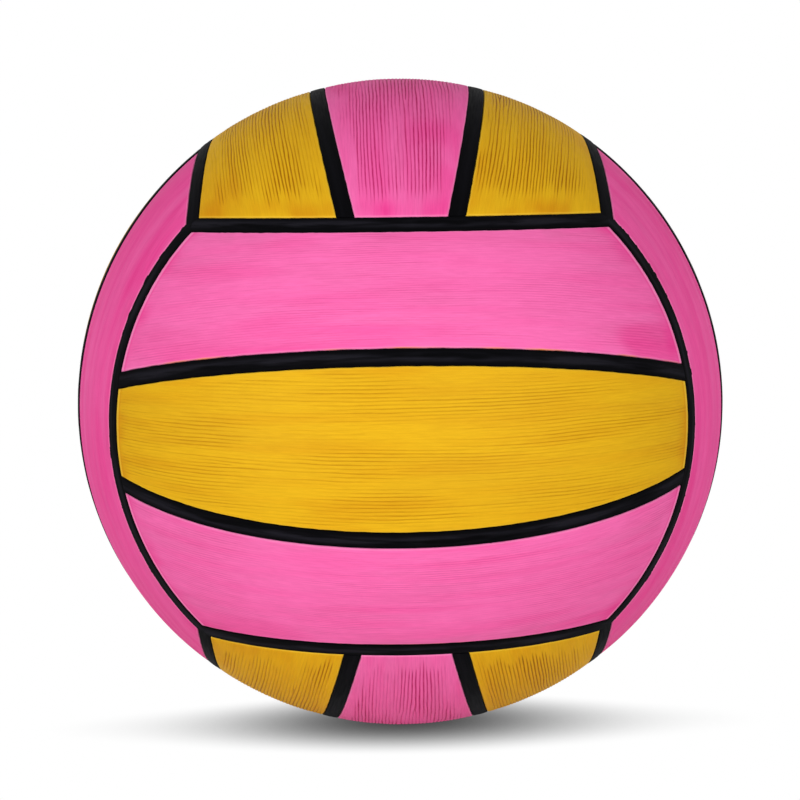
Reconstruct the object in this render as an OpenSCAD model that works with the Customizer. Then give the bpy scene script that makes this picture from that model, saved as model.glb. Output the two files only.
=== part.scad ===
/* [Ball] */
// Diameter of the inflated ball over its cover panels
ball_d = 220; // [200:1:240]
// Width of a face's middle panel, straight across its centre between seam lines
middle_panel_w = 53; // [40:1:66]

/* [Cover panels] */
// Thickness of the cover panels
cover_t = 1.5; // [1.2:0.1:2.4]
// Depth of the bevel that eases a panel's long sides into their seams
panel_bevel = 0.5; // [0.3:0.05:0.9]
// Depth of the same bevel at a panel's two ends, as a share of that depth
end_bevel_share = 0.7; // [0.5:0.05:0.85]
// Thickness of the adhesive film between the ball's layers
glue_film = 0.1; // [0.05:0.05:0.3]

/* [Black seam strips] */
// Width of the black rubber strips between the panels
strip_w = 4.8; // [3:0.2:7]
// Depth of a strip's crest below the panels' outer surface
strip_drop = 0.35; // [0.1:0.05:0.7]
// Height by which a strip's middle swells above its sides
strip_crown = 0.2; // [0.05:0.05:0.3]
// Clearance between a strip and what it lies between
strip_gap = 0.1; // [0.05:0.05:0.3]

/* [Carcass] */
// Thickness of the rubber lining under the cover
lining_t = 0.4; // [0.3:0.1:1]
// Thickness of the wound thread layer
winding_t = 0.3; // [0.2:0.1:1]
// Thickness of the air bladder
bladder_t = 0.5; // [0.4:0.1:1.5]

/* [Valve] */
// Diameter of the valve housing's stem, which shows in the back panel
valve_stem_d = 11; // [9:0.5:14]
// Length of the valve housing, from its mouth inwards
valve_stem_l = 17; // [15:0.5:24]
// Depth of the valve's mouth below the panel's outer surface
valve_drop = 0.4; // [0.2:0.1:0.8]
// Diameter of the housing's flange inside the bladder
valve_flange_d = 26; // [20:1:36]
// Thickness of the housing's flange
valve_flange_t = 1.2; // [0.8:0.1:2]
// Diameter of the reinforcing patch between flange and bladder
patch_d = 42; // [38:1:60]
// Thickness of the reinforcing patch
patch_t = 0.8; // [0.5:0.1:1.5]
// Clearance round the valve's parts
valve_gap = 0.1; // [0.05:0.05:0.2]
// Diameter of the self-sealing plug's shank
plug_d = 6; // [5:0.25:7]
// Length of the plug, from its head inwards
plug_l = 13; // [11:0.5:14]
// Diameter of the plug's head
plug_head_d = 8; // [7.5:0.25:8.5]
// Thickness of the plug's head
plug_head_t = 1.2; // [0.8:0.1:2]
// Height of the bead round the shank that snaps into the housing
plug_bead = 0.5; // [0.2:0.1:0.7]
// Length of the bead along the shank
plug_bead_l = 2; // [1.5:0.1:3]
// Distance from the plug's inner end to its bead
plug_bead_in = 2; // [1.5:0.1:3]
// Diameter of the hole that guides the inflating needle
needle_hole_d = 2.2; // [1.8:0.1:2.6]
// Depth of the needle hole, below which the plug's slit closes
needle_hole_l = 10; // [6:0.5:10.5]
// Depth of the funnel at the needle hole's mouth
needle_funnel_l = 0.8; // [0.4:0.1:1.2]

/* [Hidden] */

pink = [0.95, 0.36, 0.66];
yellow = [0.92, 0.72, 0.13];
black = [0.05, 0.05, 0.06];

// Concentric layers, from the outside in
ball_r = ball_d / 2;
cover_in_r = ball_r - cover_t;
lining_out_r = cover_in_r - glue_film;
lining_in_r = lining_out_r - lining_t;
winding_out_r = lining_in_r - glue_film;
winding_in_r = winding_out_r - winding_t;
bladder_out_r = winding_in_r - glue_film;
bladder_in_r = bladder_out_r - bladder_t;
patch_out_r = bladder_in_r - glue_film;
patch_in_r = patch_out_r - patch_t;
flange_out_r = patch_in_r - glue_film;
flange_in_r = flange_out_r - valve_flange_t;

// The six faces meet on planes at this distance from the centre, which all
// pass through the eight corners of a cube inside the ball
seam_plane = ball_r / sqrt(3);
seam_lat = asin(1 / sqrt(3));
// The seams within a face are great circles, tipped by this angle
inner_tip = asin(middle_panel_w / ball_d);

overrun = cover_t;
curve_steps = 5;
$fn = 144;

// Outline across a channel: x is the distance from the ball's centre and y
// the distance to either side, opened out at the mouth by the panels' bevels
function channel_outline(bevel) =
  let (
    side = strip_w / 2 + strip_gap,
    low = cover_in_r - overrun,
    lip = ball_r - bevel,
    flare = bevel + overrun
  )
  [[low, -side], [lip, -side], [lip + flare, -side - flare],
   [lip + flare, side + flare], [lip, side], [low, side]];

// Outline across the plain slot that an edge strip and its clearance take up
function slot_outline() =
  let (side = strip_w / 2 + strip_gap, low = cover_in_r - overrun, top = ball_r + overrun)
  [[low, -side], [top, -side], [top, side], [low, side]];

// Outline across a black strip, flat below and crowned on top
function strip_outline() =
  let (
    side = strip_w / 2,
    low = cover_in_r,
    crest = ball_r - strip_drop,
    top = [for (i = [0:2 * curve_steps]) let (s = 1 - i / curve_steps)
      [crest - strip_crown * s * s, side * s]]
  )
  concat([[low, side]], top, [[low, -side]]);

// Turns an outline through a full circle about Z, at a latitude
module ring(outline, lat) {
  rotate_extrude() rotate([0, 0, lat]) polygon(outline);
}

// The same ring about Y, which is how a face's long side runs
module long_ring(outline, side) {
  rotate([-90, 0, 0]) ring(outline, side * seam_lat);
}

// The same ring as a great circle along X, tipped to one side of the face
module inner_ring(outline, side) {
  rotate([-side * inner_tip, 0, 0]) rotate([-90, 0, 0]) ring(outline, 0);
}

module layer(out_r, in_r) {
  difference() {
    sphere(r = out_r);
    sphere(r = in_r);
  }
}

// Every face is drawn with its middle up at +Z and its panels along X.
// side is -1, 0 or 1 for the panels across it, from -Y to +Y.
function panel_bounds(side) =
  let (
    low = seam_plane,
    high = ball_r + overrun,
    t = tan(inner_tip)
  )
  side == 0
    ? [[-t * low, low], [t * low, low], [t * high, high], [-t * high, high]]
    : [[side * t * low, low], [side * seam_plane, low],
       [side * seam_plane, high], [side * t * high, high]];

// A patch of the cover with its four channels cut one by one
module panel(side) {
  cut = channel_outline(panel_bevel);
  end_cut = channel_outline(end_bevel_share * panel_bevel);
  difference() {
    difference() {
      difference() {
        intersection() {
          rotate([0, 90, 0]) layer(ball_r, cover_in_r);
          rotate([90, 0, 90]) linear_extrude(height = 2 * ball_d, center = true)
            polygon(panel_bounds(side));
        }
        rotate([0, 0, 90]) ring(end_cut, seam_lat);
      }
      if (side != 0) long_ring(cut, side);
      else inner_ring(cut, -1);
    }
    inner_ring(cut, side < 0 ? -1 : 1);
  }
}

// A wedge open away from the ball's centre: half_share is its half width
// for each unit of height, and tip turns its middle from +Y towards +Z
module mitre(tip, half_share) {
  reach = ball_d;
  rotate([tip, 0, 0]) linear_extrude(height = 2 * ball_d, center = true)
    polygon([[0, 0], [half_share * reach, reach], [-half_share * reach, reach]]);
}

// The strip along a face's long side, mitred to two others at each end
module edge_strip(side) {
  rotate([0, 0, side < 0 ? 180 : 0]) intersection() {
    long_ring(strip_outline(), 1);
    mitre(45, 1 / sqrt(2));
    mitre(atan2(2, -1), sqrt(5));
  }
}

// The strip between two panels of a face, butted to the strips at its ends
module inner_strip(side) {
  difference() {
    intersection() {
      inner_ring(strip_outline(), side);
      translate([0, 0, seam_plane + ball_d / 2]) cube(ball_d * [2, 1, 1], center = true);
    }
    ring(slot_outline(), seam_lat);
  }
}

// Turns that carry a face from +Z to its place on the ball
module on_front() { rotate([90, 0, 0]) children(); }
module on_back() { rotate([-90, 0, 0]) mirror([0, 1, 0]) children(); }
module on_left() { rotate([0, -90, 0]) children(); }
module on_right() { rotate([0, 90, 0]) children(); }
module on_top() { rotate([0, 0, 90]) mirror([0, 1, 0]) children(); }
module on_bottom() { rotate([180, 0, 0]) rotate([0, 0, 90]) mirror([0, 1, 0]) children(); }

module front_top_panel() { color(pink) on_front() panel(1); }
module front_middle_panel() { color(yellow) on_front() panel(0); }
module front_bottom_panel() { color(pink) on_front() panel(-1); }

// The valve's bore through a layer of the ball, along Y at the back
module valve_hole(d) {
  translate([0, ball_r / 2, 0]) rotate([-90, 0, 0]) cylinder(h = ball_r, d = d);
}

module back_top_panel() { color(pink) on_back() panel(1); }
module back_middle_panel() {
  hole_d = valve_stem_d + 2 * valve_gap;
  color(yellow) difference() {
    difference() {
      on_back() panel(0);
      valve_hole(hole_d);
    }
    rotate([-90, 0, 0]) translate([0, 0, ball_r - panel_bevel])
      cylinder(h = overrun, d1 = hole_d, d2 = hole_d + 2 * overrun);
  }
}
module back_bottom_panel() { color(pink) on_back() panel(-1); }

module left_front_panel() { color(pink) on_left() panel(-1); }
module left_middle_panel() { color(yellow) on_left() panel(0); }
module left_back_panel() { color(pink) on_left() panel(1); }

module right_front_panel() { color(pink) on_right() panel(-1); }
module right_middle_panel() { color(yellow) on_right() panel(0); }
module right_back_panel() { color(pink) on_right() panel(1); }

module top_left_panel() { color(yellow) on_top() panel(-1); }
module top_middle_panel() { color(pink) on_top() panel(0); }
module top_right_panel() { color(yellow) on_top() panel(1); }

module bottom_left_panel() { color(yellow) on_bottom() panel(-1); }
module bottom_middle_panel() { color(pink) on_bottom() panel(0); }
module bottom_right_panel() { color(yellow) on_bottom() panel(1); }

module front_top_edge_strip() { color(black) on_front() edge_strip(1); }
module front_bottom_edge_strip() { color(black) on_front() edge_strip(-1); }
module back_top_edge_strip() { color(black) on_back() edge_strip(1); }
module back_bottom_edge_strip() { color(black) on_back() edge_strip(-1); }
module left_front_edge_strip() { color(black) on_left() edge_strip(-1); }
module left_back_edge_strip() { color(black) on_left() edge_strip(1); }
module right_front_edge_strip() { color(black) on_right() edge_strip(-1); }
module right_back_edge_strip() { color(black) on_right() edge_strip(1); }
module top_left_edge_strip() { color(black) on_top() edge_strip(-1); }
module top_right_edge_strip() { color(black) on_top() edge_strip(1); }
module bottom_left_edge_strip() { color(black) on_bottom() edge_strip(-1); }
module bottom_right_edge_strip() { color(black) on_bottom() edge_strip(1); }

module front_upper_strip() { color(black) on_front() inner_strip(1); }
module front_lower_strip() { color(black) on_front() inner_strip(-1); }
module back_upper_strip() { color(black) on_back() inner_strip(1); }
module back_lower_strip() { color(black) on_back() inner_strip(-1); }
module left_front_strip() { color(black) on_left() inner_strip(-1); }
module left_back_strip() { color(black) on_left() inner_strip(1); }
module right_front_strip() { color(black) on_right() inner_strip(-1); }
module right_back_strip() { color(black) on_right() inner_strip(1); }
module top_left_strip() { color(black) on_top() inner_strip(-1); }
module top_right_strip() { color(black) on_top() inner_strip(1); }
module bottom_left_strip() { color(black) on_bottom() inner_strip(-1); }
module bottom_right_strip() { color(black) on_bottom() inner_strip(1); }

// A closed layer of the carcass with a hole that the valve's stem fills
module carcass_layer(out_r, in_r) {
  difference() {
    layer(out_r, in_r);
    valve_hole(valve_stem_d + 2 * valve_gap);
  }
}

module lining() { color("dimgray") carcass_layer(lining_out_r, lining_in_r); }
module winding() { color("linen") carcass_layer(winding_out_r, winding_in_r); }
module bladder() { color("darkslategray") carcass_layer(bladder_out_r, bladder_in_r); }

// A round piece of a layer about the valve, d across
module valve_disc(out_r, in_r, d) {
  intersection() {
    layer(out_r, in_r);
    valve_hole(d);
  }
}

module valve_patch() {
  color("gray") difference() {
    valve_disc(patch_out_r, patch_in_r, patch_d);
    valve_hole(valve_stem_d + 2 * valve_gap);
  }
}

// Outline of the plug from its axis out, swollen by grow for its seat
function plug_outline(grow) =
  let (
    shank = plug_d / 2 + grow,
    head = plug_head_d / 2 + grow,
    end = -plug_l - grow,
    bead_mid = -plug_l + plug_bead_in,
    bead = [for (i = [0:2 * curve_steps]) let (a = 90 * i / curve_steps)
      [shank + plug_bead * sin(a), bead_mid - plug_bead_l / 2 * cos(a)]]
  )
  concat(
    [[0, end], [shank, end]], bead,
    [[shank, -plug_head_t - grow], [head, -plug_head_t - grow], [head, grow], [0, grow]]
  );

// Puts a turned piece, drawn with its mouth at the origin, into the back panel
module at_valve() {
  translate([0, ball_r - valve_drop, 0]) rotate([-90, 0, 0]) children();
}

module valve_housing() {
  color("black") difference() {
    union() {
      valve_disc(flange_out_r, flange_in_r, valve_flange_d);
      at_valve() translate([0, 0, -valve_stem_l]) cylinder(h = valve_stem_l, d = valve_stem_d);
    }
    at_valve() rotate_extrude() polygon(plug_outline(valve_gap));
  }
}

module valve_plug() {
  hole_r = needle_hole_d / 2;
  color("dimgray") at_valve() difference() {
    rotate_extrude() polygon(plug_outline(0));
    translate([0, 0, -needle_hole_l]) cylinder(h = needle_hole_l + overrun, r = hole_r);
    translate([0, 0, -needle_funnel_l])
      cylinder(h = 2 * needle_funnel_l, r1 = hole_r, r2 = hole_r + 2 * needle_funnel_l);
  }
}

front_top_panel();
front_middle_panel();
front_bottom_panel();
back_top_panel();
back_middle_panel();
back_bottom_panel();
left_front_panel();
left_middle_panel();
left_back_panel();
right_front_panel();
right_middle_panel();
right_back_panel();
top_left_panel();
top_middle_panel();
top_right_panel();
bottom_left_panel();
bottom_middle_panel();
bottom_right_panel();
front_top_edge_strip();
front_bottom_edge_strip();
back_top_edge_strip();
back_bottom_edge_strip();
left_front_edge_strip();
left_back_edge_strip();
right_front_edge_strip();
right_back_edge_strip();
top_left_edge_strip();
top_right_edge_strip();
bottom_left_edge_strip();
bottom_right_edge_strip();
front_upper_strip();
front_lower_strip();
back_upper_strip();
back_lower_strip();
left_front_strip();
left_back_strip();
right_front_strip();
right_back_strip();
top_left_strip();
top_right_strip();
bottom_left_strip();
bottom_right_strip();
lining();
winding();
bladder();
valve_patch();
valve_housing();
valve_plug();
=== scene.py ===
import math

import bpy
import numpy as np
from mathutils import Matrix


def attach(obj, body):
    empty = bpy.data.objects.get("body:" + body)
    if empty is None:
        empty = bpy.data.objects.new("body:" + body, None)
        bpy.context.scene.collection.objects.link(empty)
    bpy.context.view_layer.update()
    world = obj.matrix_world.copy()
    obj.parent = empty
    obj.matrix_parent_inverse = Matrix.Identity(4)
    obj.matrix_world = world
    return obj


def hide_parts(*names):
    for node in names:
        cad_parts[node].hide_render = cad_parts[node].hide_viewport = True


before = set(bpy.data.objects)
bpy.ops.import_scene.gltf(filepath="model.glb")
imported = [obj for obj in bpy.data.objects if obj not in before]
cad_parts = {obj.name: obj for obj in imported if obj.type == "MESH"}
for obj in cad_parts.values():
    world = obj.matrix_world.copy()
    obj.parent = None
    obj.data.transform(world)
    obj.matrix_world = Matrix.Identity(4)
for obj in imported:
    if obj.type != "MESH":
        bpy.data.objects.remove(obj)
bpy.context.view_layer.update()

scene = bpy.context.scene
print("water polo ball: frame loaded,", len(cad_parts), "CAD nodes")

# Sizes shared by the cover and the seams, in metres and radians, as in the CAD part
ball = {
    "radius": 0.110,
    "coverThickness": 0.0015,
    "middlePanelWidth": 0.053,
    "stripWidth": 0.0048,
    "stripGap": 0.0001,
    "valveHoleRadius": 0.0056,
}
mmPerMetre = 1000.0
uvPerMetre = 10  # scale of the map that streaks follow
mmPerUv = mmPerMetre / uvPerMetre
coarseStep = 4  # cells of a panel's outside to one of its underside, each way, as loopStitch needs
seamLat = math.asin(1 / math.sqrt(3))  # latitude of the circles on which two faces meet
innerTip = math.asin(ball["middlePanelWidth"] / (2 * ball["radius"]))
coverInner = ball["radius"] - ball["coverThickness"]
panelClearance = ball["stripWidth"] / 2 + ball["stripGap"]

# Every face is worked out with its middle up at +Z and its panels along X.
# These turn it to its place; those with a determinant of -1 mirror it too.
faceTurns = {
    "front": np.array([[1, 0, 0], [0, 0, -1], [0, 1, 0]]),
    "back": np.array([[1, 0, 0], [0, 0, 1], [0, 1, 0]]),
    "left": np.array([[0, 0, -1], [0, 1, 0], [1, 0, 0]]),
    "right": np.array([[0, 0, 1], [0, 1, 0], [-1, 0, 0]]),
    "top": np.array([[0, 1, 0], [1, 0, 0], [0, 0, 1]]),
    "bottom": np.array([[0, 1, 0], [-1, 0, 0], [0, 0, -1]]),
}
# What a face calls the panels and seams at its -Y and +Y sides
sideNames = {
    "front": ("bottom", "top"), "back": ("bottom", "top"),
    "left": ("front", "back"), "right": ("front", "back"),
    "top": ("left", "right"), "bottom": ("left", "right"),
}
innerNames = dict(sideNames, front=("lower", "upper"), back=("lower", "upper"))


def smoothStep(low, high, value):
    # 0 below low, 1 above high, and 3x^2 - 2x^3 of the share between them
    x = np.clip((value - low) / (high - low), 0.0, 1.0)
    return x * x * (3 - 2 * x)


def pieceSeed(face, side):
    # One number per panel: hundreds for the face, tens for the place across it
    return 100 * (list(faceTurns).index(face) + 1) + 10 * (side + 1)


def unevenField(seed, along, across, alongSize, acrossSize):
    # Sum of plane waves with random headings and starts, each one to three times
    # as long as alongSize and acrossSize; its values spread about 0 by about 1
    rng = np.random.default_rng(seed)
    waves = 26
    heading = rng.uniform(0, 2 * math.pi, waves)
    pace = rng.uniform(0.35, 1.0, waves)
    start = rng.uniform(0, 2 * math.pi, waves)
    total = np.zeros(np.broadcast(along, across).shape)
    for h, p, s in zip(heading, pace, start):
        total += np.cos(2 * math.pi * p * (math.cos(h) * along / alongSize
                                           + math.sin(h) * across / acrossSize) + s)
    return total * math.sqrt(2 / waves)


def spherePoint(a, b, radius):
    # Point at angle a along the face and b across it: (sin a, cos a sin b, cos a cos b)
    return radius[..., None] * np.stack(
        [np.sin(a), np.cos(a) * np.sin(b), np.cos(a) * np.cos(b)], axis=-1)


def panelAngles(outer, u, v, inset, radius):
    # Angles (a, b) of the share u from -1 to 1 along a panel and v from 0 to 1
    # across it, inset from its seam lines. Across, b runs from the seam on the
    # panel's low side, tip + asin(sin d / cos a), to its high side, which for an
    # outer panel is asin(sin(lat - d) / cos a). Its ends lie where
    # cos a cos b = sin(lat + d), found for each v by halving the interval.
    d = np.arcsin(inset / radius)
    widest, halvings = math.radians(56), 34

    def acrossAngle(a):
        swell = np.arcsin(np.clip(np.sin(d) / np.cos(a), -1, 1))
        if outer:
            low = innerTip + swell
            high = np.arcsin(np.clip(np.sin(seamLat - d) / np.cos(a), -1, 1))
        else:
            low, high = -innerTip + swell, innerTip - swell
        return low + v * (high - low)

    low, high = np.zeros_like(d), np.full_like(d, widest)
    for _ in range(halvings):
        middle = (low + high) / 2
        inside = np.cos(middle) * np.cos(acrossAngle(middle)) > np.sin(seamLat + d)
        low, high = np.where(inside, middle, low), np.where(inside, high, middle)
    a = u * low
    return a, acrossAngle(a)


def seamDistance(outer, point):
    # Distances from a point of the cover to its panel's two side seams, the one
    # nearer the face's middle first, and to the seams at its ends: radius * angle
    # from the seam's circle
    unit = point / np.linalg.norm(point, axis=-1, keepdims=True)
    tilt = np.array([0, math.cos(innerTip), -math.sin(innerTip)])
    high = np.arcsin(np.clip(unit @ tilt, -1, 1))
    if outer:
        sides = np.stack([high, seamLat - np.arcsin(np.clip(unit[..., 1], -1, 1))])
    else:
        low = np.arcsin(np.clip(unit @ (tilt * [0, -1, 1]), -1, 1))
        sides = np.stack([-high, -low])
    ends = np.arcsin(np.clip(unit[..., 2], -1, 1)) - seamLat
    return ball["radius"] * sides, ball["radius"] * ends


def gridLoop(columns, i0, i1, j0, j1):
    # Indices of a grid's vertices once round the block of cells i0..i1, j0..j1
    bottom = j0 * columns + np.arange(i0, i1)
    right = np.arange(j0, j1) * columns + i1
    top = j1 * columns + np.arange(i1, i0, -1)
    left = np.arange(j1, j0, -1) * columns + i0
    return np.concatenate([bottom, right, top, left])


def gridCells(columns, rows, hole=None):
    # Four corners of every cell of a grid, but for those of a block hole
    i, j = np.meshgrid(np.arange(columns - 1), np.arange(rows - 1))
    keep = np.ones(i.shape, bool)
    if hole:
        i0, i1, j0, j1 = hole
        keep[j0:j1, i0:i1] = False
    start = (j * columns + i)[keep]
    return np.stack([start, start + 1, start + columns + 1, start + columns], axis=1)


def loopWall(upper, lower, inward=False):
    # Quads between two closed loops of equal length
    u2, l2 = np.roll(upper, -1), np.roll(lower, -1)
    order = [upper, u2, l2, lower] if inward else [upper, lower, l2, u2]
    return np.stack(order, axis=1)


def loopStitch(fine, coarse, inward=False):
    # Triangles between a closed loop and one with a quarter of its points
    f = np.append(fine, fine[0])
    c = np.append(coarse, coarse[0])
    k = np.arange(len(coarse)) * coarseStep
    here, there = c[:-1], c[1:]
    parts = [(f[k], here, f[k + 1]), (f[k + 1], here, f[k + 2]), (here, there, f[k + 2]),
             (f[k + 2], there, f[k + 3]), (f[k + 3], there, f[k + 4])]
    faces = np.concatenate([np.stack(part, axis=1) for part in parts])
    return faces[:, ::-1] if inward else faces


def makeMesh(name, points, faceSets, values, uv, flip):
    # Puts arrays of points and faces into a mesh, with one value per point in
    # each named attribute and uv as its map; points that no face uses go first
    used = np.zeros(len(points), bool)
    for faces in faceSets:
        used[faces.ravel()] = True
    place = np.cumsum(used) - 1
    faceSets = [place[f[:, ::-1]] if flip else place[f] for f in faceSets if len(f)]
    corners = np.concatenate([f.ravel() for f in faceSets])
    sizes = np.concatenate([np.full(len(f), f.shape[1]) for f in faceSets])
    mesh = bpy.data.meshes.new(name)
    mesh.vertices.add(int(used.sum()))
    mesh.vertices.foreach_set("co", points[used].astype(np.float32).ravel())
    mesh.loops.add(len(corners))
    mesh.loops.foreach_set("vertex_index", corners.astype(np.int32))
    mesh.polygons.add(len(sizes))
    starts = np.concatenate([[0], np.cumsum(sizes)[:-1]])
    mesh.polygons.foreach_set("loop_start", starts.astype(np.int32))
    mesh.polygons.foreach_set("use_smooth", np.ones(len(sizes), bool))
    for label, value in values.items():
        layer = mesh.attributes.new(label, "FLOAT", "POINT")
        layer.data.foreach_set("value", value[used].astype(np.float32))
    mapping = mesh.uv_layers.new(name="alongAcross")
    mapping.data.foreach_set("uv", uv[used][corners].astype(np.float32).ravel())
    mesh.update(calc_edges=True)
    mesh.validate()
    made = bpy.data.objects.new(name, mesh)
    scene.collection.objects.link(made)
    return made


def byFace(top, bottom, front, sides, back=None):
    # A value for each face; the back has the front's unless its own is given
    values = {"top": top, "bottom": bottom, "front": front, "left": sides, "right": sides}
    return dict(values, back=front if back is None else back)


# The moulded grooves of the cover run along each panel, and are deepest on top and
# underneath. Sizes are in metres, tone is the share of painted shade that the grooves
# take in their darker colour, strongest on top and underneath, and a pair by face is
# for the middle panel and then for the outer ones.
groove = {
    "pitch": {"top": (0.00118, 0.00108), "bottom": (0.00116, 0.00110),
              "front": (0.00108, 0.00072), "back": (0.00108, 0.00074),
              "left": (0.00104, 0.00076), "right": (0.00106, 0.00078)},
    "depth": byFace(0.00020, 0.00017, 0.00004, 0.00004),
    "tone": {"pink": byFace(1.0, 0.84, 0.38, 0.32), "yellow": byFace(1.0, 0.90, 0.50, 0.44)},
    # How far they follow the inner seam or the panel's middle, and not its width
    "parallel": {"top": (0.8, 1.0), "bottom": (0.8, 1.0), "other": (0.8, 0.5)},
    "valleyPower": {"top": 2.0, "bottom": 2.0, "other": 1.5},
    "wander": (0.20, 0.055, 0.016),  # how far they wander, in pitches, and over what size
    "jitter": (0.045, 0.011, 0.0022),
    "forks": 6,
    "forkReach": 0.075,  # farthest fork from the panel's middle
    "forkSpan": (0.1, 0.9),  # shares of the panel's width between which the forks lie
    "forkStretch": 7.0,
    "strength": 0.80,
    "strengthLimits": (0.20, 1.20),
    # How far their strength varies, over small beads and over broader stretches
    "beading": {"top": (0.10, 0.15), "bottom": (0.10, 0.15), "other": (0.16, 0.22)},
    "beadSizes": ((0.030, 0.0016), (0.045, 0.011)),
    # Distances from the ends, sides and inner seam at which they start and are whole
    "endFade": {"top": (0.0056, 0.0150), "bottom": (0.0045, 0.0125), "other": (0.0034, 0.0070)},
    "sideFade": {"top": (0.0042, 0.0098), "bottom": (0.0036, 0.0085), "other": (0.0030, 0.0055)},
    "innerFade": {"top": (0.0027, 0.0060), "bottom": (0.0027, 0.0058), "other": (0.0028, 0.0048)},
    "fadeWaver": (0.0015, 0.02, 0.0026),  # how far those lines waver, and over what size
    "waverShares": (0.4, 0.6),  # how much of that the two sides have
    "valveFade": (0.0075, 0.012),
}
cover = {
    "columns": byFace(145, 145, 105, 105),
    "rows": byFace(361, 361, 301, 281),
    "valveColumns": 193,  # all of these are a multiple of four, and one
    "valveCells": (88, 104, 100, 200),  # the block of cells that the valve's hole takes
    "valveRowShares": (0.7, 0.4, 0.15, 0.0),  # how much of that block's shape each row keeps
    "valveRise": (0.0062, 0.0090),  # the cover is smooth up to the first distance
    "rimRadius": 0.0006,
    "rimSteps": 5,
    "underInset": 0.0012,
    "ragged": (0.00006, 0.8, 2, 0.0035),  # how far the trim strays: unit, middle, most, size
    "swell": (0.000012, 1.5, 0.016, 0.007),  # its low waves: unit, half range, size
    "pillow": (0.00012, 0.011),  # how far the cover sinks towards its seams, and from where on
    "sag": (0.00062, 0.0265),  # the same for the middle panels of the left and right faces
    "hem": (0.00029, 0.005),  # and for the border of their outer panels on either side of those
    "noEndLight": 50,  # millimetres that keep the painted end highlight, and the crease with its painted shade and relief, off the other four faces
    "flashShares": (1.0, 0.3),  # how far black strays over the rim, at the outer border and elsewhere
}


def grooveField(seed, pitch, power, beading, along, across):
    # Valleys 0..1 across the panel: a narrow cosine train whose phase wanders,
    # and makes one whole turn, s * atan2, about each of a few forks
    rng = np.random.default_rng(seed + 50)
    phase = across / pitch
    for step, (share, *size) in enumerate((groove["wander"], groove["jitter"])):
        phase += share * unevenField(seed + step, along, across, *size)
    count, stretch, reach = groove["forks"], groove["forkStretch"], groove["forkReach"]
    starts = across.min() + (across.max() - across.min()) * rng.uniform(*groove["forkSpan"], count)
    for x, y, s in zip(rng.uniform(-reach, reach, count), starts, rng.choice([-1, 1], count)):
        phase += s * np.arctan2(across - y, (along - x) / stretch) / (2 * math.pi)
    valley = (0.5 + 0.5 * np.cos(2 * math.pi * phase)) ** power
    small, broad = groove["beadSizes"]
    strength = groove["strength"] + beading[0] * unevenField(seed + 4, along, across, *small)
    strength += beading[1] * unevenField(seed + 6, along, across, *broad)
    return valley * np.clip(strength, *groove["strengthLimits"])


# How much of the deeper pigment each face's panels carry all over, at their ends,
# in streaks along them and in patches beside their seams, and the larger stains of
# some panels: middle along and across, half length, half width, share
pigment = {
    "all": {"pink": byFace(0.22, 0.0, 0.02, 0.48), "yellow": byFace(0.0, 0.0, 0.04, 0.05)},
    "ends": byFace(0.60, 0.20, 0.46, 0.10),
    "endReach": (0.004, 0.011),
    "endBlotch": (0.65, 0.5, 1.2, 0.020, 0.013),  # middle, spread, most, size
    "streaks": byFace(0.06, 0.06, 0.08, 0.08),
    "streakSize": (0.060, 0.0036),
    "patches": byFace(0.30, 0.20, 0.18, 0.26, back=0.22),
    "patchReach": (0.004, 0.018),
    "patchLimits": (0.5, 1.7),
    "patchSize": (0.046, 0.022),
    "stains": {
        "cover_front_top": [(-0.050, 0.004, 0.058, 0.010, 0.34), (0.084, 0.005, 0.018, 0.014, 0.50)],
        "cover_front_bottom": [(-0.056, 0.038, 0.028, 0.008, 0.36), (0.060, 0.038, 0.020, 0.006, 0.25)],
        "cover_top_left": [(-0.070, 0.038, 0.015, 0.014, 0.38)],
        "cover_top_middle": [(-0.066, 0.012, 0.012, 0.010, 0.35)],
        "cover_back_bottom": [(0.044, 0.004, 0.030, 0.010, 0.40)],
        "cover_right_back": [(-0.030, 0.034, 0.034, 0.009, 0.30)],
    },
    "stainEdge": (0.12, 0.030, 0.007),  # how far its edge strays, and over what size
    "stainFade": (0.3, 1.0),  # shares of its size at which a stain is full, and gone
}


def pigmentField(seed, face, tone, name, along, across, sideGap, endGap):
    # Sum of the even part, streaks, a part that fades away from the ends, patches
    # that fade away from every seam, and stains, which are ellipses with a soft edge
    streaks = unevenField(seed + 8, along, across, *pigment["streakSize"])
    total = pigment["all"][tone][face] + pigment["streaks"][face] * streaks
    middle, spread, most, *size = pigment["endBlotch"]
    blotch = np.clip(middle + spread * unevenField(seed + 9, along, across, *size), 0, most)
    total += pigment["ends"][face] * (1 - smoothStep(*pigment["endReach"], endGap)) * blotch
    near = 1 - smoothStep(*pigment["patchReach"], np.minimum(sideGap, endGap))
    patch = unevenField(seed + 10, along, across, *pigment["patchSize"])
    total += pigment["patches"][face] * smoothStep(*pigment["patchLimits"], patch) * near
    strays, *size = pigment["stainEdge"]
    for x, y, length, width, share in pigment["stains"].get(name, []):
        off = np.hypot((along - x) / length, (across - y) / width)
        off += strays * unevenField(seed + 11, along, across, *size)
        total += share * (1 - smoothStep(*pigment["stainFade"], off))
    return np.clip(total, 0, 1)


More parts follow.
